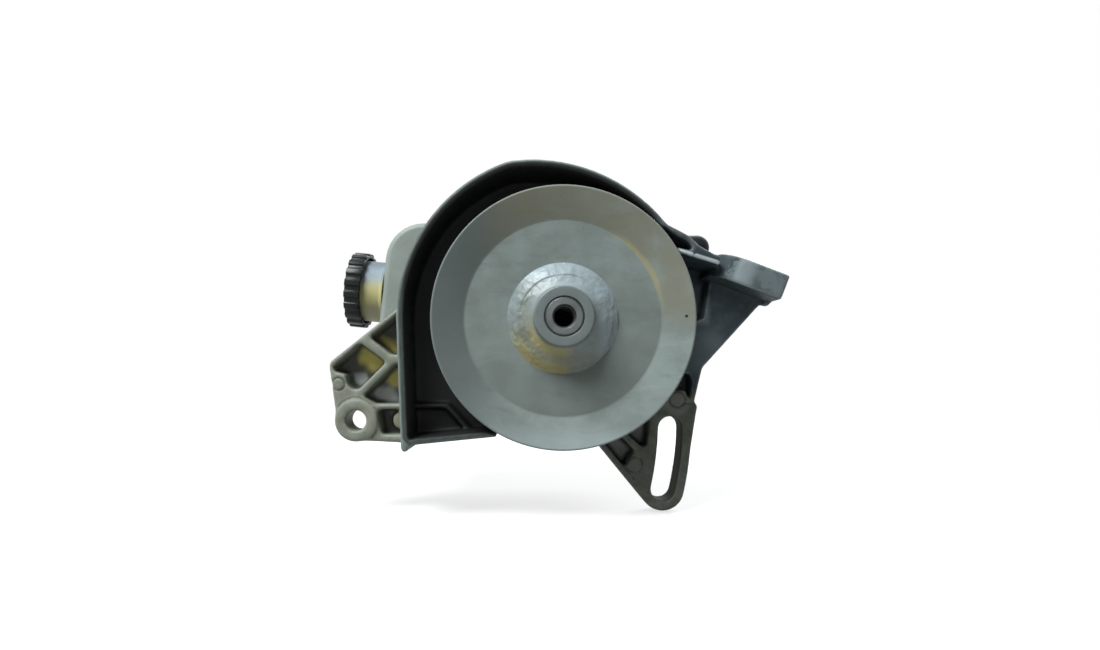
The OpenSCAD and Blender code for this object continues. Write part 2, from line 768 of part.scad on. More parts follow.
module flow_valve() {
    land = valve_len / 4;
    waist_r = valve_r - 2.5;
    color("#9a9ea0") at_front(valve_x, valve_z) turned() polygon([[0, valve_front],
        [valve_r - valve_clear, valve_front], [valve_r - valve_clear, valve_front + land],
        [waist_r, valve_front + land], [waist_r, valve_back - land],
        [valve_r - valve_clear, valve_back - land],
        [valve_r - valve_clear, valve_back], [0, valve_back]]);
}

module flow_valve_spring() {
    wire_r = 0.8;
    color("#54585a") at_front(valve_x, valve_z) translate([0, valve_bottom + wire_r, 0]) rotate([-90, 0, 0])
        coil(valve_r - 2, wire_r, 5, valve_spring_len - 2 * wire_r);
}

module outlet_union() {
    hex_r = union_oring_path + 4;
    hex_front = tank_back;
    hex_back = hex_front + outlet_depth + 2;
    passage_r = outlet_r / 2;
    color("#8d9193") at_front(valve_x, valve_z) difference() {
        union() {
            round_bar(valve_r, union_front, hex_front + cut);
            translate([0, hex_front, 0]) rotate([-90, 0, 0])
                cylinder(r = hex_r, h = hex_back - hex_front, $fn = 6);
        }
        round_bar(passage_r, union_front - cut, hex_back);
        round_bar(outlet_r, hex_back - outlet_depth, hex_back + cut);
        turned() translate([union_oring_path - union_oring_r - oring_room, hex_front - cut])
            square([2 * (union_oring_r + oring_room), cut + 2 * union_oring_r]);
    }
}

module union_oring() {
    color("#1e1e20") at_front(valve_x, valve_z)
        wire_ring(union_oring_path, union_oring_r, tank_back + union_oring_r);
}

module tank_outline() {
    lean = tan(neck_tilt);
    polygon(rounded([[tank_left + (tank_top - neck_z) * lean, tank_top],
        [tank_left + (tank_bottom - neck_z) * lean, tank_bottom], [tank_right, tank_bottom],
        [tank_right, tank_top]], tank_corner_r, 8));
}

module at_neck() {
    translate([tank_left, neck_y, neck_z]) rotate([0, neck_tilt - 90, 0]) children();
}

module at_return(x) {
    translate([x, return_y, return_z]) rotate([0, 90, 0]) children();
}

module reservoir_shell() {
    color("#a0a8a0") difference() {
        slab(tank_front, tank_back - tank_t) tank_outline();
        slab(tank_front + tank_t, tank_back) offset(delta = -tank_t) tank_outline();
        round_bar(barrel_r + fit_gap, tank_front - cut, tank_front + tank_t + cut);
        at_front(valve_x, valve_z)
            round_bar(valve_r + valve_wall + fit_gap, tank_front - cut, tank_front + tank_t + cut);
        at_neck() translate([0, 0, -3 * tank_t]) cylinder(r = neck_r - neck_wall, h = 6 * tank_t);
        at_return(tank_right - tank_corner_r) cylinder(r = return_r, h = 2 * tank_corner_r);
    }
}

module reservoir_rear_cover() {
    color("#a0a8a0") difference() {
        slab(tank_back - seam_w, tank_back) offset(delta = tank_t) tank_outline();
        slab(tank_back - seam_w - cut, tank_back - tank_t) tank_outline();
        at_front(valve_x, valve_z) round_bar(valve_r + fit_gap, tank_back - seam_w, tank_back + cut);
    }
}

module reservoir_oring() {
    color("#1e1e20") wire_ring(tank_oring_path, tank_oring_r, tank_front - tank_oring_r);
}

module filler_neck() {
    color("#b9bfc2") at_neck() rotate_extrude($fn = 96) polygon([[neck_r - neck_wall, 0], [neck_r, 0],
        [neck_r, neck_len - lip_h], [neck_r + neck_lip, neck_len - 0.75 * lip_h],
        [neck_r + neck_lip, neck_len - 0.25 * lip_h],
        [neck_r, neck_len], [neck_r - neck_wall, neck_len]]);
}

module filler_cap() {
    skirt_r = neck_r + neck_lip + 2 * edge - seat_gap;
    rib_step = 360 / cap_ribs;
    rib_ends = [0.05, 0.5, 0.6, 0.95];
    dish_r = cap_r - 5;
    dish_depth = 1;
    color("#1a1a1b") at_neck() difference() {
        translate([0, 0, cap_low]) linear_extrude(cap_h) polygon([for (i = [0:cap_ribs - 1], k = [0:3])
            polar(k < 2 ? cap_r : cap_r - cap_groove, (i + rib_ends[k]) * rib_step)]);
        translate([0, 0, cap_low - cut]) cylinder(r = skirt_r, h = cap_inner - cap_low + cut);
        translate([0, 0, cap_top - dish_depth]) cylinder(r = dish_r, h = dish_depth + cut);
    }
}

module cap_gasket() {
    color("#2b2b2d") at_neck() difference() {
        translate([0, 0, gasket_low]) cylinder(r = neck_r + neck_lip, h = gasket_t);
        translate([0, 0, gasket_low - cut]) cylinder(r = neck_r - 2 * neck_wall, h = gasket_t + 2 * cut);
    }
}

module dipstick() {
    blade_w = 6;
    blade_t = 1.2;
    color("#8d9193") at_neck() translate([-blade_w / 2, -blade_t / 2, cap_inner - dipstick_len])
        cube([blade_w, blade_t, dipstick_len]);
}

module return_pipe() {
    pipe_start = tank_right - tank_corner_r / 2;
    color("#9ea3a5") at_return(pipe_start) difference() {
        cylinder(r = return_r, h = return_end - pipe_start);
        translate([0, 0, -cut]) cylinder(r = return_r - tank_t, h = return_end - pipe_start + 2 * cut);
    }
}

module return_pipe_cap() {
    bore = return_r + shaft_clear;
    nose_t = 5;
    depth = plug_len - nose_t;
    plug_start = return_end + seat_gap - depth;
    nose = plug_len - plug_r;
    color("#161617") at_return(plug_start) rotate_extrude($fn = 64) polygon(concat([[bore, 0], [plug_r, 0]],
        [for (a = [0:10:80]) [plug_r * cos(a), nose + plug_r * sin(a)]],
        [[0, plug_len], [0, depth], [bore, depth]]));
}

module mounting_bolts() {
    head_h = bolt_r * 1.3;
    head_r = bolt_r * 1.87;
    head_back = plate_front - washer_t;
    color("#5c6062") bolt_places() {
        round_bar(bolt_r, head_back - cut, bracket_back + bolt_reach);
        translate([0, head_back - head_h, 0]) rotate([-90, 0, 0]) cylinder(r = head_r, h = head_h, $fn = 6);
    }
}

module bolt_washers() {
    color("#7a7e80") bolt_places() difference() {
        round_bar(bolt_r * 2, plate_front - washer_t, plate_front);
        round_bar(bolt_r + fit_gap, plate_front - washer_t - cut, plate_front + cut);
    }
}

bracket();
pulley_front_disc();
pulley_rear_disc();
pulley_hub();
hub_weld();
drive_shaft();
pump_housing();
shaft_bush();
shaft_seal();
thrust_plate();
cam_ring();
rotor();
rotor_clip();
vane(1);  // vane_01
vane(2);  // vane_02
vane(3);  // vane_03
vane(4);  // vane_04
vane(5);  // vane_05
vane(6);  // vane_06
vane(7);  // vane_07
vane(8);  // vane_08
vane(9);  // vane_09
vane(10);  // vane_10
pressure_plate();
dowel_pins();
pressure_spring();
end_plate();
end_plate_oring();
end_plate_ring();
flow_valve();
flow_valve_spring();
outlet_union();
union_oring();
reservoir_shell();
reservoir_rear_cover();
reservoir_oring();
filler_neck();
filler_cap();
cap_gasket();
dipstick();
return_pipe();
return_pipe_cap();
mounting_bolts();
bolt_washers();
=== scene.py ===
import json
import math

import bpy
import numpy as np
from mathutils import Matrix, Vector, noise


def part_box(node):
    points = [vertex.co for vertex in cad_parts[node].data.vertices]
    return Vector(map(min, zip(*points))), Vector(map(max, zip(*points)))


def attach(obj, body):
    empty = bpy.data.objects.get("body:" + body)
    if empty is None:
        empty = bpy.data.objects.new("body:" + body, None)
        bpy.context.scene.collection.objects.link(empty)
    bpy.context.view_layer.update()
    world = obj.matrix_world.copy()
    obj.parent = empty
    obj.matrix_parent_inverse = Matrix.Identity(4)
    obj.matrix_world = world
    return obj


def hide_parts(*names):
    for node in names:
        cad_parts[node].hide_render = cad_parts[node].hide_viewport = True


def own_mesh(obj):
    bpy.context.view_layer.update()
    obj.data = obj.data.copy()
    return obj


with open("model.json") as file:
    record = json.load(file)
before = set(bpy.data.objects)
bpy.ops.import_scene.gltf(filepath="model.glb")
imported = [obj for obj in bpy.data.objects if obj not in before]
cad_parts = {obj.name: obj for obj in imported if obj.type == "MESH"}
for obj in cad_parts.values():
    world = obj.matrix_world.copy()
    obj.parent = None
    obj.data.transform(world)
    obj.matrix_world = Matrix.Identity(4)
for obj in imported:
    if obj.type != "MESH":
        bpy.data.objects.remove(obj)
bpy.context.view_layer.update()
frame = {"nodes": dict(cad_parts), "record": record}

MM = 0.001
record_bodies = frame["record"]["behaviour"]["bodies"]
body_of_node = {node: body for body, members in record_bodies.items() for node in members}
slot_of_node = {part["node"]: part["material_slot"] for part in frame["record"]["subparts"]}
scene = bpy.context.scene
scene.view_settings.view_transform = "Standard"
bpy.ops.object.select_all(action="DESELECT")


# Camera at the photograph's place, level, with the frame shifted as the photograph is cropped
IMAGE_W = 1100
FOCAL_PX = 600
SHIFT_PX = (25, 43)
SENSOR_MM = 36
CAMERA_AT = (-0.01925, -0.308, -0.02525)
camera_data = bpy.data.cameras.new("camera")
camera_data.sensor_width = SENSOR_MM
camera_data.lens = SENSOR_MM * FOCAL_PX / IMAGE_W
camera_data.shift_x = SHIFT_PX[0] / IMAGE_W
camera_data.shift_y = SHIFT_PX[1] / IMAGE_W
camera_data.clip_start = 0.01
camera = bpy.data.objects.new("camera", camera_data)
camera.location = CAMERA_AT
camera.rotation_euler = (math.radians(90), 0, 0)
scene.collection.objects.link(camera)
scene.camera = camera


# Shader wiring
class Wire:
    """A shader socket's value; an expression on it adds Math nodes."""

    def __init__(self, finish, socket):
        self.finish = finish
        self.socket = socket

    def maths(self, operation, *values):
        return self.finish.node("ShaderNodeMath", {"operation": operation}, dict(enumerate(values)))

    def __add__(self, other):
        return self.maths("ADD", self, other)

    def __sub__(self, other):
        return self.maths("SUBTRACT", self, other)

    def __rsub__(self, other):
        return self.maths("SUBTRACT", other, self)

    def __mul__(self, other):
        return self.maths("MULTIPLY", self, other)

    def __pow__(self, other):
        return self.maths("POWER", self, other)

    __radd__ = __add__
    __rmul__ = __mul__

    def rise(self, low, high):
        """0 below low, 1 above high and smooth between; with high below low it falls instead."""
        return self.finish.node("ShaderNodeMapRange", {"interpolation_type": "SMOOTHSTEP"},
                                {"Value": self, "From Min": low, "From Max": high})

    def sine(self):
        return self.maths("SINE", self)

    def greater(self, other):
        return self.maths("MAXIMUM", self, other)

    def lesser(self, other):
        return self.maths("MINIMUM", self, other)


class Finish:
    """A node tree: a material's, or the world's."""

    def __init__(self, owner, shader):
        owner.use_nodes = True
        self.owner = owner
        self.tree = owner.node_tree
        self.shader = self.tree.nodes[shader]

    def node(self, kind, settings=None, inputs=None, out=0):
        """Adds a node: its settings first, then the values or links of its sockets."""
        added = self.tree.nodes.new(kind)
        for name, value in (settings or {}).items():
            setattr(added, name, value)
        for name, value in (inputs or {}).items():
            self.plug(added.inputs[name], value)
        return Wire(self, added.outputs[out])

    def plug(self, socket, value):
        if isinstance(value, Wire):
            self.tree.links.new(value.socket, socket)
        else:
            socket.default_value = value

    def set(self, **sockets):
        """Values or links for the shader's own sockets; base_color stands for Base Color."""
        for name, value in sockets.items():
            self.plug(self.shader.inputs[name.replace("_", " ").title().replace("Ior", "IOR")], value)

    def place(self):
        """Object coordinates, in metres."""
        return self.node("ShaderNodeTexCoord", out="Object")

    def split(self, vector):
        """The x, y and z of a vector."""
        return [self.node("ShaderNodeSeparateXYZ", None, {0: vector}, axis) for axis in range(3)]

    def stretched(self, vector, *factors):
        """Coordinates scaled along each axis, so that a pattern on them is drawn out."""
        return self.node("ShaderNodeVectorMath", {"operation": "MULTIPLY"}, {0: vector, 1: factors})

    def grain(self, vector, size, detail=3.0, roughness=0.55, warp=0.0):
        """Noise from 0 to 1 whose lumps are about size millimetres across."""
        return self.node("ShaderNodeTexNoise", None, {
            "Vector": vector, "Scale": 1 / (size * MM), "Detail": detail, "Roughness": roughness,
            "Distortion": warp})

    def mix(self, factor, first, second):
        """A colour between two colours."""
        return self.node("ShaderNodeMix", {"data_type": "RGBA"}, {0: factor, 6: first, 7: second}, 2)

    def bump(self, height, depth, under=None):
        """A bump of depth millimetres, on top of another one if given."""
        inputs = {"Height": height, "Strength": 1.0, "Distance": depth * MM}
        if under:
            inputs["Normal"] = under
        return self.node("ShaderNodeBump", None, inputs)


def colour(r, g, b):
    return (r, g, b, 1.0)


def new_finish(name):
    return Finish(bpy.data.materials.new(name), "Principled BSDF")


def distance(x, z, centre_x, centre_z):
    """Distance in the plane of the pulley from a point given in millimetres."""
    across, up = x - centre_x * MM, z - centre_z * MM
    return (across * across + up * up) ** 0.5


# Places on the casting: millimetres across and up from the shaft axis
PIVOT = (-109.8, -53.4)
GUARD_CENTRE = (-15.3, -6)
# Round marks that the die's pins left on it: centre and radius
PIN_MARKS = (((-119.3, -33.8), 3.4), ((39.4, -77.0), 4.2), ((62.4, -42.0), 4.2))
# Slopes of the guard's side wall, its bottom wall and the shelf, and the turn of the lug
WALL_LEAN, BOTTOM_LEAN, SHELF_LEAN = 0.036, 0.0994, 0.3077
LUG_COS, LUG_SIN = 0.9336, 0.3584


# Finishes
def guard_room(x, z):
    """1 in the room that the guard makes round the pulley."""
    arch = distance(x, z, *GUARD_CENTRE).rise(0.0868, 0.0846) * distance(x, z, 0, 0).rise(0.0846, 0.0825)
    arch = arch * z.rise(-0.036, -0.03)
    below = z.rise(0.002, -0.002) * (z - x * BOTTOM_LEAN).rise(-0.0565, -0.054) * x.rise(0.016, 0.008)
    return arch.greater(below) * (x + z * WALL_LEAN).rise(-0.0838, -0.0795) * x.rise(0.052, 0.044)


def slot_wall(x, y, z):
    """1 on the inside of the adjusting slot, which curves about the pivot."""
    reach = distance(x, z, *PIVOT)
    wall = reach.rise(0.1616, 0.1622) * reach.rise(0.1758, 0.1752) * x.rise(0.048, 0.05)
    return wall * y.rise(0.0138, 0.0146) * z.rise(-0.0495, -0.0505) * z.rise(-0.1, -0.099)


def shelf_edge(x, y, z):
    """1 on the shelf's front edge between the guard and the lug, partly rubbed bare and partly a painted
    highlight.
    """
    height = z + x * SHELF_LEAN - 0.0515
    edge = height.rise(0.0002, 0.0008) * height.rise(0.0028, 0.0018) * y.rise(0.003, 0.0)
    return edge * x.rise(0.055, 0.06) * x.rise(0.083, 0.0805)


def pin_rings(x, y, z):
    """1 in the rings round the pin marks, and in a score beside one of them, where shade is painted."""
    marks = [distance(x, z, *centre) - r * MM for centre, r in PIN_MARKS]
    groove = marks[0] * marks[0]
    for mark in marks[1:]:
        groove = groove.lesser(mark * mark)
    score = x * 0.795 + z * 0.609 + 0.02057
    score = (score * score).rise(0.0008 ** 2, 0.0003 ** 2) * x.rise(0.0262, 0.027) * x.rise(0.0402, 0.039)
    face = y.rise(0.0155, 0.0145) * y.rise(0.0115, 0.0125)
    return (groove ** 0.5).rise(0.0008, 0.0002).greater(score) * face


def casting():
    """Die-cast aluminium: silvery on the pivot arm, olive on the slotted one, whose darker tone is partly
    painted shade, and dark elsewhere, partly stain and partly painted shade; painted light, highlights and
    reflections lie in its pockets and on the lug.
    """
    f = new_finish("cast_aluminium_finish")
    at = f.place()
    x, y, z = f.split(at)
    _, facing_y, facing_z = f.split(f.node("ShaderNodeNewGeometry", None, None, "Normal"))
    blotch = f.grain(at, 22, 4)
    fleck = f.grain(at, 2.2, 4, 0.6)
    pits = f.grain(at, 0.7, 2)
    stain = f.grain(at, 7, 5, 0.65, 0.4)
    drift = (blotch - 0.5) * 0.02
    inner = guard_room(x, z)

    # The guard: greenish on the left, bluish on the right, with a pale lip
    rim = f.mix(stain.rise(0.3, 0.7), colour(0.075, 0.098, 0.09), colour(0.045, 0.06, 0.056))
    dark = f.mix(stain.rise(0.35, 0.75), colour(0.028, 0.039, 0.046), colour(0.052, 0.068, 0.078))
    tone = f.mix((x + drift).rise(-0.02, 0.03), rim, dark)
    lip = (x + z * WALL_LEAN).rise(-0.0832, -0.0848)
    lip = lip.greater(distance(x, z, *GUARD_CENTRE).rise(0.0856, 0.0868))
    tone = f.mix(lip * y.rise(0.008, 0.004) * x.rise(0.05, 0.03) * 0.8, tone, colour(0.19, 0.23, 0.215))

    # The slotted arm and the pivot arm; the slotted arm's darker olive is partly painted shade from the
    # pulley
    slot_arm = (x + drift).rise(0.005, 0.02) * (z + drift * 0.5).rise(-0.034, -0.04)
    olive = f.mix(stain.rise(0.3, 0.7), colour(0.1, 0.111, 0.095), colour(0.058, 0.064, 0.05))
    olive = f.mix(blotch.rise(0.5, 0.65) * 0.5, olive, colour(0.1, 0.088, 0.05))
    tone = f.mix(slot_arm, tone, olive)
    left = (x + drift * 0.3).rise(-0.0795, -0.0845) * y.rise(0.004, 0.008)
    silver = f.mix(stain.rise(0.3, 0.75), colour(0.24, 0.254, 0.21), colour(0.17, 0.18, 0.138))
    tone = f.mix(left, tone, silver)
    # Painted shade: the pivot arm is darker on its upward-facing faces
    tone = f.mix(left * facing_z.rise(0.25, 0.7) * 0.6, tone, colour(0.12, 0.122, 0.088))

    # Painted light that lifts the shade in the corners beside the guard, low on the gusset and on the block
    # over the slotted arm, which the pulley shades
    painted_fill = distance(x, z, 57, 47).rise(0.015, 0.01) * y.rise(0.003, 0.006)
    beside = x.rise(0.066, 0.07) * x.rise(0.081, 0.078) * z.rise(-0.004, 0.0) * z.rise(0.022, 0.018)
    painted_fill = painted_fill.greater(beside)
    tone = f.mix(painted_fill * 0.6, tone, colour(0.13, 0.16, 0.172))
    tone = f.mix(distance(x, z, 77, -16).rise(0.017, 0.006) * 0.5, tone, colour(0.13, 0.16, 0.172))
    tone = f.mix(distance(x, z, 62, -42).rise(0.01, 0.006) * 0.8, tone, colour(0.15, 0.16, 0.135))

    # The lug: bare grey with a painted highlight in a streak, and dark overspray that ends raggedly on it
    on_slope = z * LUG_COS + x * LUG_SIN
    along = x * LUG_COS - z * LUG_SIN
    lug = distance(x, z, 100, 21).rise(0.03, 0.026) * on_slope.rise(0.0489, 0.0493)
    bright = distance(x, z, 79, 31).rise(0.014, 0.006) * on_slope.rise(0.05, 0.054) * along.rise(0.066, 0.063)
    grey = f.mix(stain.rise(0.45, 0.7), colour(0.135, 0.168, 0.176), colour(0.08, 0.1, 0.105))
    lug_highlight = along.rise(0.0725, 0.0755) * along.rise(0.0865, 0.0785) * stain.rise(0.2, 0.5)
    grey = f.mix(lug_highlight * 0.75, grey, colour(0.3, 0.35, 0.37))
    overspray = (along + (stain - 0.5) * 0.016 + (fleck - 0.5) * 0.006).rise(0.0728, 0.0702)
    tone = f.mix(lug.greater(bright), tone, f.mix(overspray, grey, colour(0.03, 0.044, 0.049)))
    # The shelf's front edge: partly rubbed bare metal, partly a painted highlight
    tone = f.mix(shelf_edge(x, y, z) * fleck.rise(0.25, 0.45), tone, colour(0.55, 0.62, 0.65))
    # Painted shade on the inside of the adjusting slot
    slot = slot_wall(x, y, z)
    tone = f.mix(slot * 0.85, tone, colour(0.03, 0.031, 0.02))

    # Floors of the pockets: grey in the slotted arm as painted light, in the pivot arm painted shade with
    # golden and pale painted reflections
    low = y.rise(0.0195, 0.0218) * y.rise(0.0262, 0.0248) * facing_y.rise(-0.6, -0.85)
    floor = low * x.rise(-0.078, -0.084)
    tone = f.mix(low * slot_arm * 0.9, tone, colour(0.2, 0.212, 0.205))
    tone = f.mix(floor * 0.8, tone, colour(0.03, 0.03, 0.026))
    ragged = (f.grain(at, 9, 1) - 0.5) * 0.014
    gold_reflection = (distance(x, z, -99.5, -19) + ragged).rise(0.0125, 0.005)
    gold_reflection = gold_reflection.greater((distance(x, z, -90.5, -31) + ragged).rise(0.0075, 0.002))
    tone = f.mix(floor * gold_reflection, tone, colour(0.46, 0.41, 0.125))
    disc = distance(x, z, -85.6, PIVOT[1]).rise(0.0056, 0.005)
    disc = disc * y.rise(0.012, 0.015) * x.rise(-0.083, -0.0845)
    tone = f.mix(disc * 0.6, tone, colour(0.22, 0.2, 0.13))
    pale_reflection = (distance(x, z, -110, -33) + ragged).rise(0.007, 0.001)
    pale_reflection = pale_reflection.greater((distance(x, z, -96, -42) + ragged).rise(0.0105, 0.002))
    tone = f.mix(pale_reflection * floor, tone, colour(0.36, 0.385, 0.39))

    # Dark in the guard's room, partly paint and partly painted shade; flecks; painted shade in the pin-mark
    # rings, the score and the concave corners; and worn edges
    tone = f.mix(inner, tone, colour(0.012, 0.0128, 0.0128))
    tone = f.mix(fleck.rise(0.62, 0.78) * 0.35 * (1 - inner), tone, colour(0.025, 0.026, 0.024))
    tone = f.mix(pin_rings(x, y, z) * stain.rise(0.3, 0.55) * 0.7, tone, colour(0.018, 0.018, 0.015))
    edge = f.node("ShaderNodeAttribute", {"attribute_name": "edge"}, None, "Fac")
    worn = edge.rise(0.12, 0.4) * stain.rise(0.25, 0.55) * (1 - slot_arm * 0.75)
    tone = f.mix(worn * (1 - inner) * 0.22, tone, colour(0.36, 0.39, 0.38))
    tone = f.mix(edge.rise(-0.06, -0.3) * 0.55, tone, colour(0.012, 0.012, 0.011))
    f.set(base_color=tone, metallic=0.15 * (1 - inner), specular_ior_level=0.2,
          roughness=0.44 + blotch * 0.16 + fleck * 0.1 + slot * 0.25,
          normal=f.bump(pits, 0.05, f.bump(fleck, 0.12, f.bump(stain, 0.16))))
    return f.owner


def pulley_paint():
    """Satin silver-grey paint on pressed steel, with painted shade and light on the web and flange, a brown
    film partly painted as a reflection, an amber painted reflection, fine scratches and a few chips.
    """
    f = new_finish("pulley_paint_finish")
    at = f.place()
    x, _, z = f.split(at)
    radius = distance(x, z, 0, 0)
    cloud = f.grain(at, 18, 3)
    peel = f.grain(at, 1.1, 2)
    dust = f.grain(at, 0.6, 3, 0.7)
    lines = f.grain(f.stretched(at, 1.0, 1.0, 0.04), 0.5, 2)
    smear = f.grain(f.stretched(at, 0.3, 1.0, 1.0), 9, 5, 0.62, 0.5)
    chips = f.grain(at, 1.7, 1).rise(0.8, 0.82) * cloud.rise(0.5, 0.7)
    speck = distance(x, z, 62, 0.84).rise(0.0009, 0.0006)
    tone = f.mix(cloud.rise(0.3, 0.7), colour(0.26, 0.305, 0.288), colour(0.205, 0.24, 0.225))
    tone = f.mix(dust.rise(0.5, 0.75) * 0.35, tone, colour(0.13, 0.138, 0.128))
    tone = f.mix(smear.rise(0.5, 0.72) * 0.45, tone, colour(0.145, 0.165, 0.155))
    tone = f.mix(smear.rise(0.42, 0.28) * 0.3, tone, colour(0.31, 0.35, 0.335))

    # Painted shade and light: the web darker low on the right, the flange dark on the left and light at the
    # bottom
    flange = radius.rise(0.0495, 0.0515)
    tone = f.mix((1 - flange) * (z - x * 0.4).rise(0.035, -0.05) * 0.55, tone, colour(0.135, 0.15, 0.137))
    tone = f.mix(flange * (x - z * 0.15).rise(-0.008, -0.052) * 0.85, tone, colour(0.13, 0.152, 0.146))
    tone = f.mix(flange * z.rise(-0.05, -0.064) * 0.5, tone, colour(0.37, 0.43, 0.44))

    # A brown film on the flange's top, partly oil and partly a painted reflection; an amber painted
    # reflection in the bend; bare edges and chips
    film_and_reflection = radius.rise(0.049, 0.0515) * (z + x * 0.3).rise(0.005, 0.03) * x.rise(-0.05, -0.02)
    tone = f.mix(film_and_reflection * cloud.rise(0.15, 0.6) * 0.65, tone, colour(0.235, 0.22, 0.155))
    amber_reflection = distance(x, z, 43, 30).rise(0.028, 0.008) * radius.rise(0.0488, 0.0502)
    amber_reflection = amber_reflection * (radius + (cloud - 0.5) * 0.003).rise(0.0528, 0.0508)
    tone = f.mix(amber_reflection * 0.7, tone, colour(0.38, 0.345, 0.19))
    rim = radius.rise(0.0656, 0.0668)
    tone = f.mix(rim * dust.rise(0.35, 0.6) * 0.5, tone, colour(0.3, 0.33, 0.33))
    tone = f.mix(chips.greater(speck), tone, colour(0.03, 0.026, 0.022))
    f.set(base_color=tone, specular_ior_level=0.09,
          roughness=0.4 + cloud * 0.1 + lines * 0.1 + chips * 0.3,
          normal=f.bump(peel, 0.02, f.bump(cloud, 0.2, f.bump(lines, 0.012))))
    return f.owner


def tank_paint():
    """Light grey paint on the reservoir's sheet steel."""
    f = new_finish("reservoir_paint_finish")
    at = f.place()
    z = f.split(at)[2]
    cloud = f.grain(at, 26, 4)
    peel = f.grain(at, 1.4, 2)
    grime = f.grain(at, 4, 5, 0.68, 0.6)
    tone = f.mix(cloud.rise(0.3, 0.7), colour(0.3, 0.337, 0.313), colour(0.255, 0.286, 0.264))
    tone = f.mix(grime.rise(0.58, 0.76) * 0.4, tone, colour(0.16, 0.165, 0.14))
    tone = f.mix(z.rise(-0.02, -0.055) * grime.rise(0.4, 0.6) * 0.4, tone, colour(0.12, 0.118, 0.1))
    f.set(base_color=tone, metallic=0.05, specular_ior_level=0.22,
          roughness=0.38 + cloud * 0.14 + grime * 0.14,
          normal=f.bump(peel, 0.03, f.bump(cloud, 0.5)))
    return f.owner


def weld_steel():
    """Painted hub steel and weld metal, uneven, with a painted yellow reflection low on the left, a painted
    highlight above and painted shade below.
    """
    f = new_finish("hub_steel_finish")
    at = f.place()
    x, _, z = f.split(at)
    lumps = f.grain(at, 6, 3, 0.5)
    scale = f.grain(at, 1.4, 4, 0.6)
    radius = distance(x, z, 0, 0)
    off_collar = radius.rise(0.0148, 0.0165)
    tone = f.mix(lumps.rise(0.3, 0.7), colour(0.22, 0.262, 0.262), colour(0.185, 0.218, 0.214))

    # The painted yellow reflection lies in two bands, on the cone and on the weld's foot
    tint = distance(x, z, -12, -17).lesser(distance(x, z, -3, -22)) + (lumps - 0.5) * 0.006
    tint = tint.rise(0.021, 0.006) * off_collar * x.rise(0.007, -0.001)
    between = radius.rise(0.0182, 0.0205) * radius.rise(0.0252, 0.0225)
    tone = f.mix(tint * (0.85 - between * 0.4), tone, colour(0.36, 0.315, 0.12))

    # A painted highlight above and on the right, painted shade on the left and below, and a dull collar
    painted_highlight = (z + x * 0.35).rise(0.008, 0.018) * 0.6
    painted_highlight = painted_highlight.greater(x.rise(0.013, 0.021) * 0.4) * off_collar
    tone = f.mix(painted_highlight, tone, colour(0.35, 0.425, 0.455))
    tone = f.mix(x.rise(-0.014, -0.019) * radius.rise(0.0245, 0.022) * 0.45, tone, colour(0.155, 0.17, 0.13))
    tone = f.mix(x.rise(-0.01, 0.0) * z.rise(-0.015, -0.021) * 0.4, tone, colour(0.12, 0.11, 0.05))
    tone = f.mix(radius.rise(0.0153, 0.015) * 0.6, tone, colour(0.112, 0.13, 0.124))
    tone = f.mix(scale.rise(0.64, 0.78) * 0.3, tone, colour(0.08, 0.08, 0.07))
    f.set(base_color=tone, roughness=0.32 + scale * 0.14, specular_ior_level=0.42,
          normal=f.bump(scale, 0.06, f.bump(lumps, 0.1)))
    return f.owner


# The turning tool's rings: millimetres from ring to ring, and radians to a metre along the shaft
RING_PITCH, RINGS_ALONG = 0.35, 9000.0


def metal(name, light, dark, rough, grain_mm, turning=0.0, bore=0.0):
    """Machined or rolled metal; turning adds the tool's fine rings, bore a hole on the shaft axis darkened by
    painted shade.
    """
    f = new_finish(name)
    at = f.place()
    x, y, z = f.split(at)
    radius = distance(x, z, 0, 0)
    cloud = f.grain(at, 9, 4)
    fine = f.grain(at, grain_mm, 3, 0.6)
    spots = f.grain(at, 1.6, 3, 0.7)
    tone = f.mix(cloud.rise(0.3, 0.7), colour(*light), colour(*dark))
    tone = f.mix(spots.rise(0.66, 0.8) * 0.4, tone, colour(*[0.4 * c for c in dark]))
    height = fine
    if turning:
        rings = ((radius * (2 * math.pi / (RING_PITCH * MM)) + y * RINGS_ALONG) + fine * 3.0).sine()
        height = fine + rings * turning
    dark_bore = 0.0
    if bore:
        # Painted shade in the tapped hole
        dark_bore = radius.rise((bore + 0.3) * MM, bore * MM)
        tone = f.mix(dark_bore * 0.9, tone, colour(0.012, 0.014, 0.015))
    f.set(base_color=tone, metallic=0.92 - dark_bore * 0.8,
          roughness=rough + cloud * 0.12 + fine * 0.08 + dark_bore * 0.2,
          normal=f.bump(height, 0.02, f.bump(cloud, 0.05)))
    return f.owner


def neck_plate():
    """Bright plated steel of the filler neck, with painted reflections in bands by height: bluish above,
    yellow lower down, olive low down and darker at the very top.
    """
    f = new_finish("neck_steel_finish")
    at = f.place()
    cloud = f.grain(at, 8, 4)
    fine = f.grain(f.stretched(at, 0.1, 1.0, 1.0), 0.5, 3)
    height = f.split(at)[2] + (cloud - 0.5) * 0.004
    # Painted reflections by height: bluish above, yellow below, olive low down, darker at the very top
    tone = f.mix(height.rise(0.018, 0.029), colour(0.53, 0.49, 0.24), colour(0.22, 0.27, 0.305))
    tone = f.mix(height.rise(0.015, 0.008), tone, colour(0.38, 0.365, 0.235))
    tone = f.mix(height.rise(0.031, 0.037), tone, colour(0.15, 0.18, 0.195))
    tone = f.mix(cloud.rise(0.55, 0.75) * 0.25, tone, colour(0.14, 0.14, 0.12))
    f.set(base_color=tone, metallic=0.08, roughness=0.46 + cloud * 0.1 + fine * 0.08, specular_ior_level=0.2,
          normal=f.bump(fine, 0.012, f.bump(cloud, 0.06)))
    return f.owner


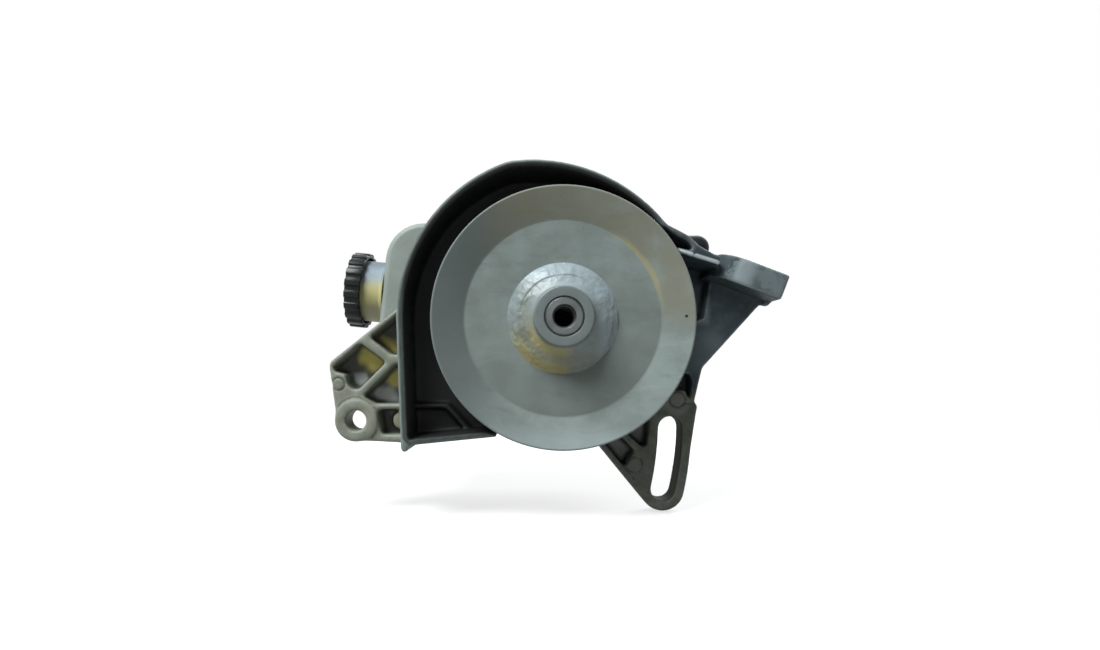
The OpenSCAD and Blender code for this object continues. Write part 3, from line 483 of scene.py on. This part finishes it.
def moulding(name, tone_low, tone_high, rough, grain_mm, depth, gloss):
    """Moulded black plastic or rubber with a fine grain, rubbed paler here and there."""
    f = new_finish(name)
    at = f.place()
    cloud = f.grain(at, 7, 4)
    fine = f.grain(at, grain_mm, 3, 0.6)
    dust = f.grain(at, 1.3, 4, 0.7)
    tone = f.mix(cloud.rise(0.3, 0.7), colour(*tone_low), colour(*tone_high))
    tone = f.mix(dust.rise(0.6, 0.8) * 0.15, tone, colour(0.07, 0.068, 0.055))
    f.set(base_color=tone, roughness=rough + cloud * 0.1 + dust * 0.1, specular_ior_level=gloss,
          normal=f.bump(fine, depth, f.bump(cloud, 0.08)))
    return f.owner


# Light and dark tone, roughness, grain in millimetres, depth of the tool's rings, radius of a bore darkened
# by painted shade
METALS = {
    "turned_steel": ((0.128, 0.142, 0.138), (0.09, 0.1, 0.097), 0.38, 0.5, 0.6, 5.75),
    "ground_steel": ((0.5, 0.51, 0.52), (0.4, 0.41, 0.42), 0.18, 0.3),
    "dark_steel": ((0.11, 0.112, 0.115), (0.06, 0.062, 0.065), 0.34, 0.5),
    "housing_iron": ((0.15, 0.15, 0.148), (0.09, 0.09, 0.088), 0.5, 0.9),
    "bush_bronze": ((0.5, 0.34, 0.13), (0.38, 0.25, 0.09), 0.3, 0.4, 0.4),
}
# Two tones, roughness, grain and its depth in millimetres, gloss
MOULDINGS = {
    "seal_rubber": ((0.014, 0.014, 0.015), (0.022, 0.022, 0.023), 0.5, 0.3, 0.03, 0.3),
    "cap_plastic": ((0.004, 0.0065, 0.0065), (0.008, 0.0105, 0.0095), 0.2, 0.35, 0.015, 0.2),
    "plug_plastic": ((0.005, 0.0065, 0.0075), (0.009, 0.011, 0.0125), 0.46, 0.4, 0.025, 0.16),
}
finishes = {
    "cast_aluminium": casting(),
    "pulley_paint": pulley_paint(),
    "reservoir_paint": tank_paint(),
    "hub_steel": weld_steel(),
    "neck_steel": neck_plate(),
}
for slot, values in METALS.items():
    finishes[slot] = metal(slot + "_finish", *values)
for slot, values in MOULDINGS.items():
    finishes[slot] = moulding(slot + "_finish", *values)


# Modelling by operators: how near corners are joined, and the angle up to which faces count as flat
SPUN_MERGE, COPY_MERGE, FLAT = 0.001 * MM, 0.004 * MM, math.radians(0.4)


def pick(ob):
    """Makes ob the one selected and active object."""
    bpy.ops.object.select_all(action="DESELECT")
    ob.select_set(True)
    bpy.context.view_layer.objects.active = ob


def edit(ob):
    pick(ob)
    bpy.ops.object.mode_set(mode="EDIT")


def leave():
    bpy.ops.object.mode_set(mode="OBJECT")


def apply_all(ob):
    """Applies ob's modifiers in order."""
    pick(ob)
    for name in [m.name for m in ob.modifiers]:
        bpy.ops.object.modifier_apply(modifier=name)


def settle(ob, name, finish, nodes, angle=35):
    """Names a finished piece, puts its place into its mesh and lets it stand for CAD nodes."""
    ob.name = name
    ob.data.name = name
    pick(ob)
    bpy.ops.object.transform_apply(location=True, rotation=True, scale=True)
    bpy.ops.object.shade_smooth_by_angle(angle=math.radians(angle))
    ob.data.materials.clear()
    ob.data.materials.append(finishes[finish])
    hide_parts(*nodes)
    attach(ob, body_of_node[nodes[0]])
    bpy.ops.object.select_all(action="DESELECT")
    return ob


def cad_copy(node):
    """A copy of a CAD node's mesh with its corners joined and its flat faces made whole."""
    source = frame["nodes"][node]
    ob = bpy.data.objects.new(node + "_copy", source.data.copy())
    scene.collection.objects.link(ob)
    edit(ob)
    bpy.ops.mesh.select_all(action="SELECT")
    bpy.ops.mesh.remove_doubles(threshold=COPY_MERGE)
    bpy.ops.mesh.dissolve_limited(angle_limit=FLAT)
    leave()
    return ob


def modify(ob, kind, **settings):
    """Adds a modifier with its settings and applies it."""
    added = ob.modifiers.new(kind.lower(), kind)
    for name, value in settings.items():
        setattr(added, name, value)
    apply_all(ob)


def soften(ob, width, angle):
    """Rounds the edges that are sharper than angle by a bevel of width millimetres."""
    modify(ob, "BEVEL", width=width * MM, segments=3, limit_method="ANGLE", angle_limit=math.radians(angle),
           use_clamp_overlap=False, miter_outer="MITER_ARC")


def filleted(points, radii, steps=6):
    """A closed outline with each corner rounded by its own radius; 0 leaves a corner sharp."""
    out = []
    for i, corner in enumerate(points):
        here = Vector(corner)
        before = Vector(points[i - 1]) - here
        after = Vector(points[(i + 1) % len(points)]) - here
        radius = radii[i]
        if radius == 0:
            out.append(here)
            continue
        half = before.angle(after) / 2
        reach = min(radius / math.tan(half), 0.49 * before.length, 0.49 * after.length)
        radius = reach * math.tan(half)
        u, v = before.normalized(), after.normalized()
        centre = here + (u + v).normalized() * (radius / math.sin(half))
        start, end = here + u * reach - centre, here + v * reach - centre
        turn = start.angle_signed(end)
        for k in range(steps + 1):
            spin = Matrix.Rotation(-turn * k / steps, 2)
            out.append(centre + spin @ start)
    return out


def dense(path, step):
    """An open line with points added on it, no further apart than step millimetres."""
    out = [Vector(path[0])]
    for here, after in zip(path, path[1:]):
        count = math.ceil((after - here).length / step)
        out += [here.lerp(after, k / count) for k in range(1, count + 1)]
    return out


def spun(profile, steps):
    """A closed outline of (radius, depth) in millimetres, spun about the shaft axis."""
    bpy.ops.object.select_all(action="DESELECT")
    bpy.ops.mesh.primitive_plane_add(size=1 * MM)
    ob = bpy.context.object
    bpy.ops.object.mode_set(mode="EDIT")
    bpy.ops.mesh.select_mode(type="VERT")
    bpy.ops.mesh.merge(type="CENTER")
    here = Vector((0, 0))
    for i, point in enumerate(list(profile) + [profile[0]]):
        move = (Vector(point) - here) * MM
        here = Vector(point)
        if i == 0:
            bpy.ops.transform.translate(value=(move.x, move.y, 0))
        else:
            bpy.ops.mesh.extrude_region_move(TRANSFORM_OT_translate={"value": (move.x, move.y, 0)})
    bpy.ops.mesh.select_all(action="SELECT")
    bpy.ops.mesh.remove_doubles(threshold=SPUN_MERGE)
    bpy.ops.mesh.spin(steps=steps, angle=2 * math.pi, center=(0, 0, 0), axis=(0, 1, 0))
    bpy.ops.mesh.select_all(action="SELECT")
    bpy.ops.mesh.remove_doubles(threshold=SPUN_MERGE)
    bpy.ops.mesh.normals_make_consistent(inside=False)
    leave()
    return ob


# Pulley sizes
SHAFT_R, TAP_R, PULLEY_R, WEB_R, SHEET = 9.5, 5.0, 67.0, 50.5, 2.5
SPIGOT_R, REAR_HOLE_R, COLLAR_R, CONE_R = 16.5, 30.0, 15.0, 25.0
HUB_FRONT, HUB_REAR, COLLAR_LEN, CONE_FOOT, WELD_LEG = 16.0, 10.0, 4.5, 2.5, 3.5
# The open ring between the hub and the shaft's nose, and the clearances of the hub's seats
RING_GAP, RING_DEPTH, SHAFT_GAP, SPIGOT_GAP, WEB_LAP = 0.5, 1.6, 0.02, 0.05, 0.1
GROOVE = math.radians(18)
flank = (PULLEY_R - WEB_R) * math.tan(GROOVE)
flank_sheet = SHEET / math.cos(GROOVE)
bend_shift = (flank_sheet - SHEET) / math.tan(GROOVE)


def pressing(hole_r, side):
    """One of the pulley's two pressed discs; side is -1 for the front one and 1 for the rear one."""
    section = [(hole_r, 0), (hole_r, SHEET), (WEB_R - bend_shift, SHEET),
               (PULLEY_R - 0.1, flank + flank_sheet - 0.1), (PULLEY_R, flank + 0.1), (WEB_R, 0)]
    outline = filleted(section, [0.2, 0.5, 2.5, 0.9, 0.9, 5])
    return spun([(r, side * y) for r, y in outline], 160)


settle(pressing(SPIGOT_R, -1), "front_pressing", "pulley_paint", ["pulley_front_disc"])
settle(pressing(REAR_HOLE_R, 1), "rear_pressing", "pulley_paint", ["pulley_rear_disc"])


def rows(ob, name):
    """A property of all corners of a mesh, "co" or "normal", as rows of three numbers."""
    flat = np.empty(3 * len(ob.data.vertices))
    ob.data.vertices.foreach_get(name, flat)
    return flat.reshape(-1, 3)


def uneven(ob, lift):
    """Moves each corner along its own normal by lift(point in millimetres)."""
    here = rows(ob, "co")
    moves = np.array([lift(Vector(p) / MM) for p in here]) * MM
    ob.data.vertices.foreach_set("co", (here + rows(ob, "normal") * moves[:, None]).ravel())
    ob.data.update()


def smooth(value, low, high):
    """0 below low, 1 above high, smooth between."""
    t = max(0.0, min(1.0, (value - low) / (high - low)))
    return t * t * (3 - 2 * t)


def near(angle, middle, half):
    """1 at a direction given in degrees, falling off smoothly to either side of it."""
    away = math.degrees(math.remainder(angle - math.radians(middle), 2 * math.pi))
    return math.exp(-(away / half) ** 4)


def hub_and_weld():
    """The hub's collar and cone, running into the lumpy weld round its foot, all under one coat of paint."""
    top = -HUB_FRONT + COLLAR_LEN
    toe = CONE_R + WELD_LEG
    ring_foot = -HUB_FRONT + RING_DEPTH
    web = -SHEET + WEB_LAP
    ring_r, spigot_r, seat_r = SHAFT_R + RING_GAP, SPIGOT_R - SPIGOT_GAP, SHAFT_R + SHAFT_GAP
    section = [(ring_r, ring_foot), (ring_r, -HUB_FRONT), (COLLAR_R, -HUB_FRONT), (COLLAR_R, top + 0.4),
               (CONE_R, -SHEET - CONE_FOOT - 0.3), (toe, web), (spigot_r, web), (spigot_r, HUB_REAR),
               (seat_r, HUB_REAR), (seat_r, ring_foot)]
    outline = filleted(section, [0, 0.35, 1.0, 3.2, 6.0, 0, 0, 0.7, 0.5, 0], 8)
    shown = [i for i, p in enumerate(outline) if p[0] > COLLAR_R - 0.01 and p[1] < -SHEET + 0.2]
    start, end = shown[0], shown[-1] + 1
    ob = spun(outline[:start] + dense(outline[start:end], 0.35) + outline[end:], 360)

    def lift(p):
        """The weld's crest over the top, its ripples where it begins on the left, and lumps all round."""
        radius = math.hypot(p.x, p.z)
        around = math.atan2(p.z, p.x)
        outside = smooth(radius, COLLAR_R + 1.2, COLLAR_R + 4)
        front = smooth(-p.y, SHEET - 0.05, SHEET + 0.4)
        wander = radius + 0.8 * noise.noise(p * 0.11)
        crest = smooth(wander, 21.2, 21.9) * near(around, 112, 72)
        begun = smooth(wander, 19.6, 20.6) * smooth(wander, 26.5, 24.5) * near(around, 178, 30)
        knots = math.sin(around * 19 + 1.5 * noise.noise(p * 0.15)) + 0.8 * noise.noise(p * 0.35)
        lumps = 0.45 * noise.noise(p * 0.12) + 0.2 * noise.noise(p * 0.4) + 0.1 * noise.noise(p * 1.2)
        return outside * front * (lumps + 0.5 * crest + begun * (0.3 + 0.16 * knots))

    uneven(ob, lift)
    return ob


settle(hub_and_weld(), "hub_and_weld", "hub_steel", ["pulley_hub", "hub_weld"], 55)

SPLINE_R, SHOULDER_Y, TAP_DEPTH, TAP_PITCH = 8.0, 55.0, 32.0, 1.75
COUNTERBORE, COUNTERBORE_DEPTH, THREAD_DEPTH, THREAD_START, RUNOUT = 0.7, 2.6, 0.85, 2.9, 6
NEAR_AXIS = 0.01
SHAFT_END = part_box("drive_shaft")[1][1] / MM


def shaft_turning():
    """The shaft, with a chamfered nose and the threads of the tapped hole in it."""
    tip = -HUB_FRONT
    threads = []
    for i in range(int((TAP_DEPTH - RUNOUT) / TAP_PITCH)):
        crest = tip + THREAD_START + i * TAP_PITCH
        threads += [(TAP_R, crest + 0.2), (TAP_R + THREAD_DEPTH, crest + TAP_PITCH * 0.5),
                    (TAP_R, crest + TAP_PITCH * 0.8)]
    mouth = [(TAP_R + COUNTERBORE + 0.4, tip), (TAP_R + COUNTERBORE, tip + 0.4),
             (TAP_R + COUNTERBORE, tip + COUNTERBORE_DEPTH)]
    foot = [(TAP_R, tip + TAP_DEPTH), (NEAR_AXIS, tip + TAP_DEPTH + TAP_R / 2)]
    outside = [(NEAR_AXIS, SHAFT_END), (SPLINE_R - 0.5, SHAFT_END), (SPLINE_R, SHAFT_END - 0.5),
               (SPLINE_R, SHOULDER_Y), (SHAFT_R, SHOULDER_Y), (SHAFT_R, tip + 0.7), (SHAFT_R - 0.7, tip)]
    section = mouth + threads + foot + outside
    return spun(section, 96)


settle(shaft_turning(), "shaft_turning", "turned_steel", ["drive_shaft"])


# Bracket: the front of its arms, and the depth and half width of the ring round a pin mark
ARM_FRONT = 13.5
RING_DIP, RING_HALF = 0.4, 0.9
VOXEL = 0.65


def bracket_casting():
    """The bracket as a die casting: all edges rounded, all corners filled, and pin marks on its face.

    How far the rounding moved each point is kept for the finish: more than 0 on edges, less in corners.
    """
    ob = cad_copy("bracket")
    modify(ob, "REMESH", mode="VOXEL", voxel_size=VOXEL * MM)
    sharp = rows(ob, "co")
    modify(ob, "SMOOTH", factor=0.5, iterations=36)
    moved = ((sharp - rows(ob, "co")) * rows(ob, "normal")).sum(axis=1) / MM
    ob.data.attributes.new("edge", "FLOAT", "POINT").data.foreach_set("value", moved)

    def pin_mark(p):
        if abs(p.y - ARM_FRONT) > 2:
            return 0.0
        ring = min(abs(math.hypot(p.x - x, p.z - z) - r) for (x, z), r in PIN_MARKS)
        return -RING_DIP * max(0.0, 1 - (ring / RING_HALF) ** 2)

    uneven(ob, pin_mark)
    modify(ob, "DECIMATE", ratio=0.42)
    return ob


settle(bracket_casting(), "bracket_casting", "cast_aluminium", ["bracket"], 60)


# Reservoir and filler
TANK_FRONT, TANK_BACK = 34.0, 110.0
VALVE_AXIS = (-34.648, 34.648)
VALVE_LOBE_R, BARREL_R = 14.0, 42.0
DRAWN_R, ROLLED_R, PRESSED_R = 3.6, 1.6, 0.35
# The rear cover's pressed panels: their lowest and highest corners, and the field that holds both
PANELS = (((-14, -40), (41, 46)), ((-88, -40), (-24, 12)))
PANEL_FIELD = ((-92, -45), (46, 51))
PANEL_DEPTH, PANEL_CORNER, PANEL_SLOPE = 0.9, 9, 1.0


def select_edges(ob, wanted):
    """Selects the edges whose two ends both fulfil wanted(point in millimetres)."""
    edit(ob)
    bpy.ops.mesh.select_mode(type="EDGE")
    bpy.ops.mesh.select_all(action="DESELECT")
    leave()
    good = [wanted(v.co / MM) for v in ob.data.vertices]
    for e in ob.data.edges:
        e.select = all(good[i] for i in e.vertices)
    edit(ob)


def off_openings(p):
    """True away from the holes that the pump's barrel and valve lobe pass through."""
    return (math.hypot(p.x, p.z) > BARREL_R + 3
            and math.hypot(p.x - VALVE_AXIS[0], p.z - VALVE_AXIS[1]) > VALVE_LOBE_R + 2)


def tank_pressing():
    """The deep-drawn reservoir, with a drawn radius round its front."""
    ob = cad_copy("reservoir_shell")
    select_edges(ob, lambda p: abs(p.y - TANK_FRONT) < 0.01 and off_openings(p))
    bpy.ops.mesh.bevel(offset=DRAWN_R * MM, segments=7, affect="EDGES")
    leave()
    return ob


tank = settle(tank_pressing(), "reservoir_pressing", "reservoir_paint", ["reservoir_shell"], 30)
modify(tank, "WEIGHTED_NORMAL", keep_sharp=True)


def panel_cutter(low, high):
    """A rounded block with sloping sides that presses a shallow panel into the rear cover."""
    size = [high[0] - low[0], 2 * PANEL_DEPTH, high[1] - low[1]]
    bpy.ops.mesh.primitive_cube_add(size=1, location=(
        (low[0] + high[0]) / 2 * MM, TANK_BACK * MM, (low[1] + high[1]) / 2 * MM))
    ob = bpy.context.object
    ob.scale = [v * MM for v in size]
    pick(ob)
    bpy.ops.object.transform_apply(location=True, rotation=True, scale=True)
    edit(ob)
    bpy.ops.mesh.select_mode(type="EDGE")
    bpy.ops.mesh.select_all(action="DESELECT")
    leave()
    for e in ob.data.edges:
        a, b = (ob.data.vertices[i].co for i in e.vertices)
        e.select = abs(a.y - b.y) > MM / 2
    edit(ob)
    bpy.ops.mesh.bevel(offset=PANEL_CORNER * MM, segments=8, affect="EDGES")
    bpy.ops.mesh.select_mode(type="VERT")
    bpy.ops.mesh.select_all(action="DESELECT")
    leave()
    for v in ob.data.vertices:
        v.select = v.co.y < TANK_BACK * MM
    edit(ob)
    # Half of the block stands outside the cover, so its inner end draws in by twice the slope each side
    bpy.ops.transform.resize(value=(1 - 4 * PANEL_SLOPE / size[0], 1, 1 - 4 * PANEL_SLOPE / size[2]))
    leave()
    return ob


def off_panels(p):
    """True on the rear cover's rim, away from the pressed panels and the outlet hole."""
    (left, bottom), (right, top) = PANEL_FIELD
    return not (left < p.x < right and bottom < p.z < top)


def rear_cover_pressing():
    """The rear cover: a rolled edge over the shell and two pressed panels beside the outlet."""
    ob = cad_copy("reservoir_rear_cover")
    for low, high in PANELS:
        cutter = panel_cutter(low, high)
        modify(ob, "BOOLEAN", object=cutter, operation="DIFFERENCE", solver="EXACT")
        bpy.data.objects.remove(cutter)
    select_edges(ob, lambda p: abs(p.y - TANK_BACK) < 0.01 and off_panels(p))
    bpy.ops.mesh.bevel(offset=ROLLED_R * MM, segments=5, affect="EDGES")
    leave()
    soften(ob, PRESSED_R, 35)
    return ob


cover = settle(rear_cover_pressing(), "rear_cover_pressing", "reservoir_paint", ["reservoir_rear_cover"], 30)
modify(cover, "WEIGHTED_NORMAL", keep_sharp=True)

NECK_TILT = math.radians(5.6)
NECK_AXIS = Vector((-math.cos(NECK_TILT), 0, math.sin(NECK_TILT)))
NECK_FOOT = Vector((-101.0, 54.0, 19.8))
NECK_R, NECK_LEN, NECK_WALL = 18.0, 17.0, 1.2


def stand(ob, foot, axis):
    """Turns a piece spun about the shaft axis so that it stands on foot along axis."""
    turn = Vector((0, 1, 0)).rotation_difference(axis).to_matrix().to_4x4()
    ob.matrix_world = Matrix.Translation(foot * MM) @ turn
    return ob


neck_section = [(NECK_R - NECK_WALL, 0), (NECK_R + 1.7, 0), (NECK_R, 1.9), (NECK_R, NECK_LEN - 2.2),
                (NECK_R + 0.7, NECK_LEN - 1.5), (NECK_R + 0.7, NECK_LEN - 0.4),
                (NECK_R - NECK_WALL, NECK_LEN)]
settle(stand(spun(filleted(neck_section, [0, 0.3, 2.0, 0.8, 0.5, 0.7, 0.4], 5), 128), NECK_FOOT, NECK_AXIS),
       "filler_neck_tube", "neck_steel", ["filler_neck"])

cap = cad_copy("filler_cap")
soften(cap, 0.3, 28)
settle(cap, "filler_cap_moulding", "cap_plastic", ["filler_cap"])

PIPE_R, PLUG_R, PLUG_NECK_R, PLUG_LEN, PLUG_DEPTH, PLUG_GAP = 5.0, 8.0, 7.6, 26.0, 21.0, 0.03
PLUG_FOOT = Vector((67.3, 60.0, 48.3))
bore_r = PIPE_R + PLUG_GAP
plug_nose = [(PLUG_NECK_R * math.cos(a), PLUG_LEN - PLUG_NECK_R + PLUG_NECK_R * math.sin(a))
             for a in (math.radians(9 * i) for i in range(10))]
plug_collar = [(bore_r, 0), (PLUG_R - 0.4, 0), (PLUG_R, 0.5), (PLUG_R, 2.2), (PLUG_R - 0.3, 2.9)]
plug_inside = [(NEAR_AXIS, PLUG_LEN), (NEAR_AXIS, PLUG_DEPTH), (bore_r, PLUG_DEPTH)]
settle(stand(spun(plug_collar + plug_nose + plug_inside, 96), PLUG_FOOT, Vector((1, 0, 0))),
       "return_cap_moulding", "plug_plastic", ["return_pipe_cap"])

for node, name, width in (("outlet_union", "outlet_union_turning", 0.5),
                          ("mounting_bolts", "mounting_bolt_set", 0.4),
                          ("pump_housing", "pump_housing_casting", 0.6)):
    ob = cad_copy(node)
    soften(ob, width, 40)
    settle(ob, name, slot_of_node[node], [node])

# The valve's spring, which shortens as the valve comes back on it, gets a mesh of its own
spring_slot = slot_of_node["flow_valve_spring"]
coil = settle(cad_copy("flow_valve_spring"), "flow_valve_coil", spring_slot, ["flow_valve_spring"])
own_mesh(coil)


# Carried-over CAD nodes get the same finishes
for node, ob in frame["nodes"].items():
    ob.data.materials.clear()
    ob.data.materials.append(finishes[slot_of_node[node]])


# Stage and light
FLOOR_Z = -0.1032
FLOOR_REACH = 0.9
WHITE, BLACK, ROOM_LIGHT = colour(1, 1, 1), colour(0, 0, 0), colour(0.06, 0.064, 0.068)
bpy.ops.mesh.primitive_circle_add(vertices=96, radius=FLOOR_REACH, fill_type="NGON", location=(0, 0, FLOOR_Z))
floor = bpy.context.object
floor.name = "floor"


def seen_rays(f):
    """1 on the rays that show the background: straight, reflected or through glass."""
    seen = f.node("ShaderNodeLightPath", None, None, "Is Camera Ray")
    for ray in ("Is Glossy Ray", "Is Transmission Ray"):
        seen = seen.greater(f.node("ShaderNodeLightPath", None, None, ray))
    return seen


f = new_finish("floor_finish")
x, y, _ = f.split(f.place())
f.set(base_color=colour(0.3, 0.3, 0.295), roughness=0.9, emission_strength=0.72,
      emission_color=f.mix(seen_rays(f), BLACK, WHITE))
clear = f.node("ShaderNodeBsdfTransparent")
faded = distance(x, y, 0, 0).rise(0.3, FLOOR_REACH * 0.95)
surface = f.node("ShaderNodeMixShader", None, {0: faded, 1: Wire(f, f.shader.outputs[0]), 2: clear})
f.plug(f.tree.nodes["Material Output"].inputs["Surface"], surface)
floor.data.materials.append(f.owner)

world = bpy.data.worlds.new("studio")
scene.world = world
w = Finish(world, "Background")
w.set(color=w.mix(seen_rays(w), ROOM_LIGHT, WHITE))


def lamp(name, place, target, size, watts, tint):
    """A soft rectangular lamp that shines at target and isn't seen itself."""
    data = bpy.data.lights.new(name, "AREA")
    data.shape = "RECTANGLE"
    data.size, data.size_y = size
    data.energy = watts
    data.color = tint
    ob = bpy.data.objects.new(name, data)
    ob.location = place
    ob.rotation_euler = (Vector(target) - Vector(place)).to_track_quat("-Z", "Y").to_euler()
    ob.visible_camera = False
    scene.collection.objects.link(ob)


lamp("window", (-0.68, -0.62, 1.3), (0, 0.02, 0), (0.8, 0.7), 42, (0.93, 0.98, 1.0))
lamp("back_window", (0.5, 1.0, 0.8), (0, 0.05, 0), (0.9, 0.7), 16, (0.95, 0.98, 1.0))
lamp("warm_fill", (-0.6, -0.6, 0.02), (-0.05, 0, -0.02), (0.35, 0.25), 0.25, (1.0, 0.8, 0.5))
